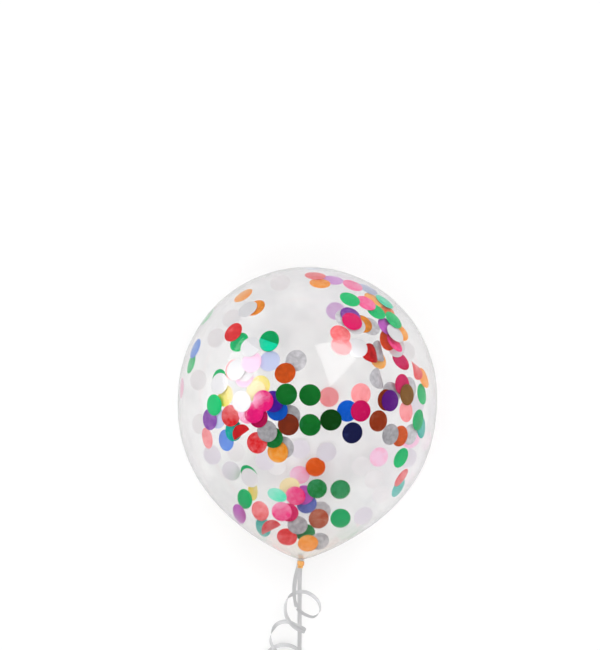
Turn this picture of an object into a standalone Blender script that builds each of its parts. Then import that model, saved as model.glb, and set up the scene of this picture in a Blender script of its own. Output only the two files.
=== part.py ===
"""A tied confetti balloon lying on its side, with the curling ribbon that ties it.

Metres, +Z up. The balloon's axis runs along Y, its crown at +Y and its knot at -Y. The origin is on
the surface that the balloon lies on, under the middle of the balloon's length.

The latex is one sealed body, so it is one solid from crown to lip. Its confetti is inside it.
One length of ribbon ties the neck and leaves two tails: a straight one, which drops to the surface,
runs out along it and ends in a wound coil, and a short one that springs into a curl.
"""

import math

import bmesh
import bpy
import numpy as np
from mathutils import Matrix

# The blown balloon, with depths measured along its axis
BODY_RADIUS = 0.150
CROWN_DEPTH = 0.1506
SHOULDER_DEPTH = 0.1879
SHOULDER_FULLNESS = 2.4
TIP_SHARPNESS = 0.82
FLAT_SPOT_DEPTH = 0.0015

# The tied neck: a bare waist for the ribbon, the knot, a groove and the rolled lip
WAIST_RADIUS = 0.0026
KNOT_RADIUS = 0.0047
KNOT_LENGTH = 0.0064
KNOT_SWELL = 0.6
GROOVE_RADIUS = 0.0030
LIP_RADIUS = 0.0042
LIP_LENGTH = 0.0032
LIP_OUTLINE = ((0.30, 0.88), (0.60, 1.00), (0.88, 0.90), (1.00, 0.55), (1.00, 0.00))

# Soft folds that tying leaves in the knot and the lip, as shares of their radius
KNOT_LOBES = 2
KNOT_LOBE_DEPTH = 0.10
LIP_LOBES = 3
LIP_LOBE_DEPTH = 0.22

# The ribbon
RIBBON_WIDTH = 0.0050
RIBBON_THICKNESS = 0.0006
TIE_BAND_THICKNESS = 0.0012
TIE_BEAD_RADIUS = 0.0017
TIE_BEAD_SPREAD = math.radians(38)
CURL_OUTER_RADIUS = 0.0205
COIL_MEAN_RADIUS = 0.0250
COIL_LENGTH = 0.90
COIL_TURN_SPACING = 0.0019

# Gap between pieces that touch, and how high a ribbon's underside lies over the surface
TOUCH_GAP = 0.0003
SURFACE_GAP = 0.0001

# How finely the round forms are cut
TURN_SEGMENTS = 56
CROWN_RINGS = 12
SHOULDER_RINGS = 15
KNOT_RINGS = 8
TIE_POINTS = 36
COIL_SEGMENTS = 48
SMOOTH_SAMPLES = 600
SHARP_ANGLE = math.radians(40)

# Where the neck's pieces come along the axis, from the crown. The waist just holds the ribbon's band.
WAIST_START = CROWN_DEPTH + SHOULDER_DEPTH
WAIST_LENGTH = TIE_BAND_THICKNESS + 2 * TOUCH_GAP
KNOT_START = WAIST_START + WAIST_LENGTH
LIP_START = KNOT_START + KNOT_LENGTH
FULL_LENGTH = LIP_START + LIP_LENGTH

AXIS_HEIGHT = BODY_RADIUS - FLAT_SPOT_DEPTH
CROWN_Y = FULL_LENGTH / 2
TIE_Y = CROWN_Y - WAIST_START - WAIST_LENGTH / 2
TIE_BEAD_Z = AXIS_HEIGHT - KNOT_RADIUS * (1 + KNOT_LOBE_DEPTH) - TOUCH_GAP - TIE_BEAD_RADIUS
TAIL_TOP_Z = TIE_BEAD_Z - TIE_BEAD_RADIUS - TOUCH_GAP

# Straight tail: X, distance out from the tie, Z. It hangs, meets the surface and runs out to the coil.
TAIL_ROUTE = (
    (0.0000, 0.0000, TAIL_TOP_Z),
    (0.0000, 0.0006, 0.1200),
    (0.0000, 0.0014, 0.0900),
    (0.0000, 0.0020, 0.0600),
    (0.0000, 0.0034, 0.0320),
    (0.0000, 0.0080, 0.0120),
    (0.0000, 0.0180, 0.0030),
    (0.0000, 0.0330, 0.0000),
    (0.0008, 0.0600, 0.0000),
    (0.0022, 0.0950, 0.0000),
    (0.0034, 0.1300, 0.0000),
    (0.0038, 0.1500, 0.0000),
    (0.0038, 0.1700, 0.0000),
)
TAIL_SPACING = 0.0110
TAIL_TURN_START = 0.130
TAIL_TURN_END = 0.165

# The coil stands against the tail's end
COIL_WINDING = COIL_LENGTH / (math.tau * COIL_MEAN_RADIUS) * COIL_TURN_SPACING
COIL_INNER_RADIUS = COIL_MEAN_RADIUS - COIL_WINDING / 2
COIL_OUTER_RADIUS = COIL_MEAN_RADIUS + COIL_WINDING / 2
COIL_CENTRE_X = TAIL_ROUTE[-1][0] + RIBBON_THICKNESS / 2 + TOUCH_GAP + COIL_OUTER_RADIUS
COIL_CENTRE_Y = TIE_Y - TAIL_ROUTE[-1][1]

# Curled tail: X, distance out from the tie, Z, and the outer radius of the curl there
CURL_ROUTE = (
    (0.0000, 0.0036, TIE_BEAD_Z - 0.0022, 0.0015),
    (-0.0030, 0.0090, 0.1345, 0.0035),
    (-0.0030, 0.0210, 0.1220, 0.0090),
    (0.0020, 0.0370, 0.1030, 0.0175),
    (0.0050, 0.0530, 0.0810, CURL_OUTER_RADIUS),
    (-0.0020, 0.0710, 0.0580, CURL_OUTER_RADIUS),
    (-0.0120, 0.0900, 0.0370, CURL_OUTER_RADIUS),
    (-0.0220, 0.1120, 0.0240, CURL_OUTER_RADIUS),
    (-0.0340, 0.1370, CURL_OUTER_RADIUS + SURFACE_GAP, CURL_OUTER_RADIUS),
    (-0.0440, 0.1600, CURL_OUTER_RADIUS + SURFACE_GAP, CURL_OUTER_RADIUS),
)
CURL_SPACING = 0.0105


def clear_scene():
    for obj in list(bpy.data.objects):
        bpy.data.objects.remove(obj, do_unlink=True)


def material(name, colour, roughness, transmission=0.0):
    """A plain Principled material, its colour given as linear red, green and blue."""
    made = bpy.data.materials.new(name)
    made.use_nodes = True
    made.diffuse_color = (*colour, 1.0)
    shader = made.node_tree.nodes["Principled BSDF"]
    shader.inputs["Base Color"].default_value = (*colour, 1.0)
    shader.inputs["Roughness"].default_value = roughness
    shader.inputs["Metallic"].default_value = 0.0
    shader.inputs["Transmission Weight"].default_value = transmission
    return made


def add_object(name, data, finish):
    """Links the data to the scene as one named object with one material."""
    data.materials.append(finish)
    obj = bpy.data.objects.new(name, data)
    bpy.context.scene.collection.objects.link(obj)
    return obj


def finished_mesh(name, shape):
    """Turns a bmesh into a mesh with outward faces, smooth but for its sharp edges."""
    bmesh.ops.recalc_face_normals(shape, faces=shape.faces[:])
    mesh = bpy.data.meshes.new(name)
    shape.to_mesh(mesh)
    shape.free()
    mesh.shade_smooth()
    mesh.set_sharp_from_angle(angle=SHARP_ANGLE)
    return mesh


def spun(profile, centre, axis, segments):
    """A closed turned solid: the profile is a list of points, and its ends lie on the axis or meet."""
    shape = bmesh.new()
    points = [shape.verts.new(point) for point in profile]
    edges = [shape.edges.new(pair) for pair in zip(points, points[1:])]
    bmesh.ops.spin(
        shape,
        geom=points + edges,
        cent=centre,
        axis=axis,
        angle=math.tau,
        steps=segments,
        use_merge=True,
    )
    bmesh.ops.remove_doubles(shape, verts=shape.verts[:], dist=1e-6)
    return shape


def body_outline():
    """Depth and radius from the crown's pole to the waist: a round crown, then a fuller curve to the tip."""
    outline = []
    for ring in range(CROWN_RINGS):
        turn = math.pi / 2 * ring / CROWN_RINGS
        outline.append((CROWN_DEPTH * (1 - math.cos(turn)), BODY_RADIUS * math.sin(turn)))
    for ring in range(SHOULDER_RINGS + 1):
        along = math.sin(math.pi / 2 * ring / SHOULDER_RINGS)
        share = (1 - min(along, 1.0) ** SHOULDER_FULLNESS) ** TIP_SHARPNESS
        radius = WAIST_RADIUS + (BODY_RADIUS - WAIST_RADIUS) * share
        outline.append((CROWN_DEPTH + SHOULDER_DEPTH * along, radius))
    return outline


def neck_outline():
    """Depth and radius of the knot, the groove behind it and the lip, down to the lip's middle."""
    outline = []
    for ring in range(KNOT_RINGS + 1):
        along = ring / KNOT_RINGS
        foot = WAIST_RADIUS + (GROOVE_RADIUS - WAIST_RADIUS) * along
        swell = math.sin(math.pi * along) ** KNOT_SWELL if 0 < ring < KNOT_RINGS else 0.0
        outline.append((KNOT_START + KNOT_LENGTH * along, foot + (KNOT_RADIUS - foot) * swell))
    for along, share in LIP_OUTLINE:
        outline.append((LIP_START + LIP_LENGTH * along, LIP_RADIUS * share))
    return outline


def press_lobes(shape):
    """Folds the knot and the lip into soft lobes round the axis, which a tied neck has."""
    for point in shape.verts:
        depth = CROWN_Y - point.co.y
        if depth <= KNOT_START:
            continue
        turn = math.atan2(point.co.x, point.co.z)
        if depth < LIP_START:
            fade = math.sin(math.pi * (depth - KNOT_START) / KNOT_LENGTH)
            scale = 1 + KNOT_LOBE_DEPTH * fade * math.cos(KNOT_LOBES * turn)
        else:
            fade = min(1.0, (depth - LIP_START) / (LIP_LENGTH / 2))
            scale = 1 + LIP_LOBE_DEPTH * fade * math.cos(LIP_LOBES * turn - math.pi / 2)
        point.co.x *= scale
        point.co.z *= scale


def cut_flat_spot(shape):
    """Cuts the underside off level at Z 0 and closes the cut with one flat face."""
    everything = shape.verts[:] + shape.edges[:] + shape.faces[:]
    cut = bmesh.ops.bisect_plane(
        shape, geom=everything, dist=1e-6, plane_co=(0, 0, 0), plane_no=(0, 0, -1), clear_outer=True
    )
    rim = [item for item in cut["geom_cut"] if isinstance(item, bmesh.types.BMEdge)]
    bmesh.ops.edgeloop_fill(shape, edges=rim)


def build_balloon():
    outline = body_outline() + neck_outline()
    profile = [(radius, CROWN_Y - depth, 0.0) for depth, radius in outline]
    shape = spun(profile, (0, 0, 0), (0, 1, 0), TURN_SEGMENTS)
    press_lobes(shape)
    bmesh.ops.transform(shape, matrix=Matrix.Translation((0, 0, AXIS_HEIGHT)), verts=shape.verts[:])
    cut_flat_spot(shape)
    latex = material("clear_latex", (0.86, 0.86, 0.87), roughness=0.08, transmission=0.85)
    add_object("balloon", finished_mesh("balloon", shape), latex)


def smooth_path(route, spacing):
    """Evenly spaced rows read from one smooth curve through the route's rows, whatever each row holds."""
    rows = np.array(route, dtype=float)
    spans = np.linalg.norm(np.diff(rows[:, :3], axis=0), axis=1)
    reach = np.concatenate([[0.0], np.cumsum(spans)])
    slopes = np.gradient(rows, reach, axis=0)
    at = np.linspace(0.0, reach[-1], SMOOTH_SAMPLES)
    span = np.clip(np.searchsorted(reach, at, side="right") - 1, 0, len(spans) - 1)
    size = spans[span][:, None]
    u = (at[:, None] - reach[span][:, None]) / size
    dense = (
        (2 * u**3 - 3 * u**2 + 1) * rows[span]
        + (u**3 - 2 * u**2 + u) * size * slopes[span]
        + (3 * u**2 - 2 * u**3) * rows[span + 1]
        + (u**3 - u**2) * size * slopes[span + 1]
    )
    steps = np.linalg.norm(np.diff(dense[:, :3], axis=0), axis=1)
    length = np.concatenate([[0.0], np.cumsum(steps)])
    even = np.linspace(0.0, length[-1], round(length[-1] / spacing) + 1)
    return np.column_stack([np.interp(even, length, column) for column in dense.T])


def out_from_tie(route):
    """The route with its distances out from the tie turned into Y."""
    return [(row[0], TIE_Y - row[1], *row[2:]) for row in route]


def ribbon_object(name, points, finish, depth, flat=0.0, sides=2, radii=None, turns=None, closed=False):
    """A round or flat tube along the points. depth is its half thickness, and flat widens it to each side."""
    curve = bpy.data.curves.new(name, "CURVE")
    curve.dimensions = "3D"
    curve.twist_mode = "Z_UP" if flat else "MINIMUM"
    curve.bevel_depth = depth
    curve.bevel_resolution = sides
    curve.extrude = flat
    curve.use_fill_caps = True
    spline = curve.splines.new("POLY")
    spline.points.add(len(points) - 1)
    spline.use_cyclic_u = closed
    for index, place in enumerate(spline.points):
        place.co = (*points[index], 1.0)
        place.radius = 1.0 if radii is None else radii[index] / depth
        place.tilt = 0.0 if turns is None else turns[index]
    return add_object(name, curve, finish)


def build_tie(finish):
    """A band round the waist that runs down past the knot and swells there into the ribbon's own knot."""
    band_radius = TIE_BAND_THICKNESS / 2
    near = WAIST_RADIUS + TOUCH_GAP + band_radius
    far = AXIS_HEIGHT - TIE_BEAD_Z
    points = []
    radii = []
    for index in range(TIE_POINTS):
        turn = math.tau * index / TIE_POINTS
        from_below = min(turn, math.tau - turn)
        swell = math.exp(-((from_below / TIE_BEAD_SPREAD) ** 2))
        reach = near + (far - near) * swell
        points.append((reach * math.sin(turn), TIE_Y, AXIS_HEIGHT - reach * math.cos(turn)))
        radii.append(band_radius + (TIE_BEAD_RADIUS - band_radius) * swell**2)
    ribbon_object("ribbon_tie", points, finish, band_radius, radii=radii, closed=True)


def build_tail(finish):
    """The straight tail: it lies flat on the surface, then turns on edge to join the coil."""
    path = smooth_path(out_from_tie(TAIL_ROUTE), TAIL_SPACING)
    out = TIE_Y - path[:, 1]
    share = np.clip((out - TAIL_TURN_START) / (TAIL_TURN_END - TAIL_TURN_START), 0.0, 1.0)
    rise = math.pi / 2 * share
    half_thickness = RIBBON_THICKNESS / 2
    flat = RIBBON_WIDTH / 2 - half_thickness
    path[:, 2] = np.maximum(path[:, 2], SURFACE_GAP + half_thickness + flat * np.sin(rise))
    turns = (math.pi / 2 - rise).tolist()
    ribbon_object("ribbon_tail", path.tolist(), finish, half_thickness, flat=flat, turns=turns)


def build_curl(finish):
    """The curled tail's outer form: a horn at the tie that widens into one fat tube."""
    path = smooth_path(out_from_tie(CURL_ROUTE), CURL_SPACING)
    radii = np.minimum(path[:, 3], CURL_OUTER_RADIUS)
    path[:, 2] = np.maximum(path[:, 2], radii + SURFACE_GAP)
    points = path[:, :3].tolist()
    ribbon_object("ribbon_curl", points, finish, CURL_OUTER_RADIUS, sides=4, radii=radii.tolist())


def build_coil(finish):
    """The wound spare length's outer form: a ring as thick as its turns and as high as the ribbon is wide."""
    inner, outer = COIL_INNER_RADIUS, COIL_OUTER_RADIUS
    height = RIBBON_WIDTH + SURFACE_GAP
    corners = [(inner, height), (outer, height), (outer, 0.0), (inner, 0.0), (inner, height)]
    profile = [(COIL_CENTRE_X + radius, COIL_CENTRE_Y, level) for radius, level in corners]
    shape = spun(profile, (COIL_CENTRE_X, COIL_CENTRE_Y, 0), (0, 0, 1), COIL_SEGMENTS)
    add_object("ribbon_coil", finished_mesh("ribbon_coil", shape), finish)


def build_ribbon():
    builders = {"tie": build_tie, "tail": build_tail, "curl": build_curl, "coil": build_coil}
    for name, build in builders.items():
        build(material(f"ribbon_{name}_satin", (0.72, 0.72, 0.73), roughness=0.35))


def main():
    clear_scene()
    build_balloon()
    build_ribbon()


main()
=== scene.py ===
"""The looks of a confetti balloon that lies on its side.

A clear latex balloon is tied at its neck with a curling ribbon, and round foil confetti clings to the inside
of its film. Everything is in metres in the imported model's frame: +Z is up, the balloon's axis runs along Y
with its crown at +Y, and the surface that it lies on is at Z 0. The camera looks straight down on it.
"""

from __future__ import annotations

import logging
import math
from dataclasses import dataclass, field, replace
from enum import Enum
from typing import Sequence

import bmesh
import bpy
import numpy as np
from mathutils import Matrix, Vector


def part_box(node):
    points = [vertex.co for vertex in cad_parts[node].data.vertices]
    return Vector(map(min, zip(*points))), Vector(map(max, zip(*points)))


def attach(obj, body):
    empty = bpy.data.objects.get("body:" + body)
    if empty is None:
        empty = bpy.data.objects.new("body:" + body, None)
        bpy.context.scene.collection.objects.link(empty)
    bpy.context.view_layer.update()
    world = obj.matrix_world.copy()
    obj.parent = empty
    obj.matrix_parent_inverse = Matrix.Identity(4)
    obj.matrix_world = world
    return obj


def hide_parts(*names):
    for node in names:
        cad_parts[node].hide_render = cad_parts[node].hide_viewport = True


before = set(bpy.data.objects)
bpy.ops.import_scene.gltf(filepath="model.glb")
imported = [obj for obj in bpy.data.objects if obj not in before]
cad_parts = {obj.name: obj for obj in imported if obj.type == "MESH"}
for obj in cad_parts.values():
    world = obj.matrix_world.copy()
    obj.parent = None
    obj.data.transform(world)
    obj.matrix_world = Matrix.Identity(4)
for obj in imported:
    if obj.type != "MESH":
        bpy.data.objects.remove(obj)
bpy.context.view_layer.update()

LOG = logging.getLogger("confetti_balloon")
BODY = "root"
TINY = 1e-9

Array = np.ndarray
Pair = tuple[float, float]
Point = tuple[float, float, float]
Colour = Point
Outline = tuple[Pair, ...]
Socket = bpy.types.NodeSocket
Material = bpy.types.Material
Piece = bpy.types.Object


# Colours and node trees


def linear(red: int, green: int, blue: int) -> Colour:
    """Turns a colour as it looks on a screen into linear light.

    Args:
        red: its red, 0 to 255.
        green: its green.
        blue: its blue.

    Returns:
        The linear colour, 0 to 1 a channel.
    """
    shares = np.array([red, green, blue]) / 255
    high = ((shares + 0.055) / 1.055) ** 2.4
    return tuple(float(value) for value in np.where(shares <= 0.04045, shares / 12.92, high))


class NodeSheet:
    """The node tree of one material, or of the world, while it is being laid out."""

    def __init__(self, owner: Material | bpy.types.World) -> None:
        """Starts from the nodes that a new one has.

        Args:
            owner: the material or the world.
        """
        owner.use_nodes = True
        self.owner = owner
        self.tree = owner.node_tree
        self.shader = self.tree.nodes.get("Principled BSDF")

    def feed(self, target: Socket, value: object) -> None:
        """Gives an input its value.

        Args:
            target: the input.
            value: an output to link to it, or a plain value. A colour's fourth number may be left out.
        """
        if isinstance(value, Socket):
            self.tree.links.new(value, target)
        elif target.type == "RGBA" and len(value) == 3:
            target.default_value = (*value, 1.0)
        else:
            target.default_value = value

    def add(self, kind: str, inputs: dict | None = None, **settings: object) -> bpy.types.Node:
        """Adds a node.

        Args:
            kind: the node's Blender type.
            inputs: what its inputs get, by name or number.
            **settings: values for its own properties.

        Returns:
            The new node.
        """
        node = self.tree.nodes.new(kind)
        for name, value in settings.items():
            setattr(node, name, value)
        for socket, value in (inputs or {}).items():
            self.feed(node.inputs[socket], value)
        return node

    def set(self, **values: object) -> None:
        """Feeds the shader's own inputs, named in plain words with _ for a space."""
        for name, value in values.items():
            self.feed(self.shader.inputs[name.replace("_", " ").title().replace("Ior", "IOR")], value)

    def place(self, kind: str = "Object") -> Socket:
        """A point's place on the piece, or its place of another kind."""
        return self.add("ShaderNodeTexCoord").outputs[kind]

    def part(self, place: Socket, axis: str) -> Socket:
        """A place's X, Y or Z."""
        return self.add("ShaderNodeSeparateXYZ", {0: place}).outputs[axis]

    def noise(self, scale: float, detail: float = 2.0, at: Socket | None = None) -> Socket:
        """Soft noise of about 0.5, with so many patches to a metre and so many finer layers."""
        inputs = {"Scale": scale, "Detail": detail, "Vector": at or self.place()}
        return self.add("ShaderNodeTexNoise", inputs).outputs["Fac"]

    def ranged(self, source: Socket, start: float, end: float, low: float = 0.0, high: float = 1.0,
               smooth: bool = False) -> Socket:
        """Maps a value from one range to another, clamped.

        Args:
            source: the value.
            start: the source value that gives low.
            end: the source value that gives high.
            low: the result at start.
            high: the result at end.
            smooth: whether the change eases in and out.

        Returns:
            The result.
        """
        kind = "SMOOTHSTEP" if smooth else "LINEAR"
        inputs = {0: source, 1: start, 2: end, 3: low, 4: high}
        return self.add("ShaderNodeMapRange", inputs, interpolation_type=kind).outputs[0]

    def mixed(self, share: Socket, first: Colour | Socket, second: Colour | Socket) -> Socket:
        """Two colours mixed, with this share of the second one."""
        return self.add("ShaderNodeMix", {"Factor": share, 6: first, 7: second}, data_type="RGBA").outputs[2]

    def sum(self, operation: str, *values: Socket | float) -> Socket:
        """The result of one of Blender's sums on these values."""
        return self.add("ShaderNodeMath", dict(enumerate(values)), operation=operation).outputs[0]

    def added(self, first: Socket, second: Socket, share: float) -> Socket:
        """One value plus a share of another."""
        return self.sum("MULTIPLY_ADD", second, share, first)

    def bump(self, height: Socket, distance: float, strength: float = 1.0) -> None:
        """Raises the surface by a height map: so far for a height of one, and so strongly."""
        inputs = {"Distance": distance, "Strength": strength, "Height": height}
        self.set(normal=self.add("ShaderNodeBump", inputs).outputs["Normal"])


# Meshes


@dataclass
class Grid:
    """A surface in parts: points, the faces over them, and a place on the surface for each point."""

    points: Array
    faces: list[Sequence[int]]
    uv: Array | None = None


def around(count: int) -> Array:
    """Evenly spaced angles once round, in radians."""
    return np.linspace(0.0, math.tau, count, endpoint=False)


def grid_faces(rows: int, columns: int) -> Array:
    """The four-sided faces between the points of a grid whose rows close on themselves.

    Args:
        rows: how many rows of points there are.
        columns: how many points a row has.

    Returns:
        One line of four point numbers for each face, row after row.
    """
    row, column = np.meshgrid(np.arange(rows - 1) * columns, np.arange(columns), indexing="ij")
    beside = (column + 1) % columns
    corners = [row + column, row + beside, row + columns + beside, row + columns + column]
    return np.stack(corners, axis=-1).reshape(-1, 4)


def swept(centres: Array, across: Array, up: Array, section: Array) -> Grid:
    """A closed tube: each point is a row's centre, plus the section's first number across and its second up.

    Args:
        centres: the rows' centres.
        across: each row's unit vector for the section's first number.
        up: each row's unit vector for its second number.
        section: the loop's corners, or one such loop for each row.

    Returns:
        The tube, its ends closed. Its uv runs from 0 to 1 across and in metres along.
    """
    rows = len(centres)
    loops = np.broadcast_to(section, (rows, *np.shape(section)[-2:]))
    points = centres[:, None] + loops[..., :1] * across[:, None] + loops[..., 1:] * up[:, None]
    columns = points.shape[1]
    reach = np.ptp(loops[..., 0], axis=1)[:, None]
    share = (loops[..., 0] - loops[..., 0].min(axis=1)[:, None]) / np.maximum(reach, TINY)
    uv = np.stack([share, np.broadcast_to(run_of(centres)[:, None], share.shape)], axis=-1)
    ends = [list(range(columns)), list(range((rows - 1) * columns, rows * columns))]
    return Grid(points.reshape(-1, 3), grid_faces(rows, columns).tolist() + ends, uv.reshape(-1, 2))


def turned(depths: Array, radii: Array, form: BalloonForm) -> Grid:
    """A turned surface about the balloon's axis, closed by a point at each end.

    Args:
        depths: the rings' depths below the crown.
        radii: each ring's radius at each of its points.
        form: the balloon's form, for where its crown and its axis are.

    Returns:
        The surface, with a single point before the first ring and one after the last.
    """
    turns = radii.shape[1]
    turn = around(turns)
    ahead = np.broadcast_to(form.crown_y - depths[:, None], radii.shape)
    rings = np.stack([radii * np.sin(turn), ahead, form.axis_height + radii * np.cos(turn)], axis=-1)
    poles = np.stack([rings[0].mean(axis=0), rings[-1].mean(axis=0)])
    count = len(rings) - 2
    ring = np.arange(turns)
    beside = (ring + 1) % turns
    last = (count - 1) * turns
    first_cap = np.column_stack([np.full(turns, count * turns), ring, beside])
    last_cap = np.column_stack([np.full(turns, count * turns + 1), last + beside, last + ring])
    faces = grid_faces(count, turns).tolist() + first_cap.tolist() + last_cap.tolist()
    return Grid(np.concatenate([rings[1:-1].reshape(-1, 3), poles]), faces)


def placed(name: str, data: bpy.types.ID) -> Piece:
    """Makes an object at the origin and links it to the scene.

    Args:
        name: its name.
        data: its mesh or camera.

    Returns:
        The object.
    """
    made = bpy.data.objects.new(name, data)
    bpy.context.scene.collection.objects.link(made)
    return made


def make_piece(name: str, surface: Grid, finish: Material, sharp: float = 40.0,
               shade: Array | None = None) -> Piece:
    """Makes an object from a surface, its faces pointing outwards.

    Args:
        name: the object's name.
        surface: its points and faces.
        finish: its material.
        sharp: the angle in degrees from which an edge stays sharp.
        shade: a number for each point that its material reads.

    Returns:
        The object.
    """
    mesh = bpy.data.meshes.new(name)
    mesh.from_pydata(surface.points.tolist(), [], surface.faces)
    if surface.uv is not None:
        corners = np.zeros(len(mesh.loops), dtype=np.int32)
        mesh.loops.foreach_get("vertex_index", corners)
        layer = mesh.uv_layers.new(name="surface")
        layer.data.foreach_set("uv", surface.uv[corners].astype(np.float32).ravel())
    if shade is not None:
        kept = mesh.attributes.new("shade", "FLOAT", "POINT")
        kept.data.foreach_set("value", shade.astype(np.float32))
    shape = bmesh.new()
    shape.from_mesh(mesh)
    bmesh.ops.recalc_face_normals(shape, faces=shape.faces[:])
    shape.to_mesh(mesh)
    shape.free()
    mesh.shade_smooth()
    mesh.set_sharp_from_angle(angle=math.radians(sharp))
    mesh.materials.append(finish)
    return placed(name, mesh)


def hand_over(piece: Piece, slot: str, *nodes: str) -> Piece:
    """Makes a finished piece part of the model.

    Args:
        piece: the piece.
        slot: not used.
        *nodes: the model's nodes that the piece stands for.

    Returns:
        The piece.
    """
    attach(piece, BODY)
    if nodes:
        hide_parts(*nodes)
    stands_for = ", ".join(nodes) or "nothing"
    LOG.info("%s: %d faces, in place of %s", piece.name, len(piece.data.polygons), stands_for)
    return piece


# Lines in space


def unit(vectors: Array) -> Array:
    """The vectors at a length of one."""
    return vectors / np.maximum(np.linalg.norm(vectors, axis=-1, keepdims=True), TINY)


def run_of(points: Array) -> Array:
    """How far along its own line each point comes, a point being a row's first three numbers."""
    return np.concatenate([[0.0], np.cumsum(np.linalg.norm(np.diff(points[:, :3], axis=0), axis=1))])


def square_to(vectors: Array, line: Array) -> Array:
    """The vectors with what runs along the line taken out, at a length of one."""
    return unit(vectors - (vectors * line).sum(axis=-1, keepdims=True) * line)


def eased(value: Array, start: float, end: float) -> Array:
    """0 before start, 1 after end, and a smooth change between them."""
    share = np.clip((value - start) / (end - start), 0.0, 1.0)
    return share * share * (3 - 2 * share)


def smooth_path(route: Array, spacing: float, samples: int = 600) -> Array:
    """Evenly spaced points on one smooth curve through the route's points.

    The curve is cubic between two points, with the slope at each one taken from its neighbours.

    Args:
        route: the points.
        spacing: how far apart the new points are, about.
        samples: how finely the curve is cut before its points are spaced.

    Returns:
        The new points.
    """
    reach = run_of(route)
    slopes = np.gradient(route, reach, axis=0)
    at = np.linspace(0.0, reach[-1], samples)
    span = np.clip(np.searchsorted(reach, at, side="right") - 1, 0, len(route) - 2)
    size = np.diff(reach)[span][:, None]
    u = (at[:, None] - reach[span][:, None]) / size
    dense = (
        (2 * u**3 - 3 * u**2 + 1) * route[span]
        + (u**3 - 2 * u**2 + u) * size * slopes[span]
        + (3 * u**2 - 2 * u**3) * route[span + 1]
        + (u**3 - u**2) * size * slopes[span + 1]
    )
    length = run_of(dense)
    even = np.linspace(0.0, length[-1], round(length[-1] / spacing) + 1)
    return np.column_stack([np.interp(even, length, column) for column in dense.T])


# The balloon's form, which the film, the confetti and the lights share


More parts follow.
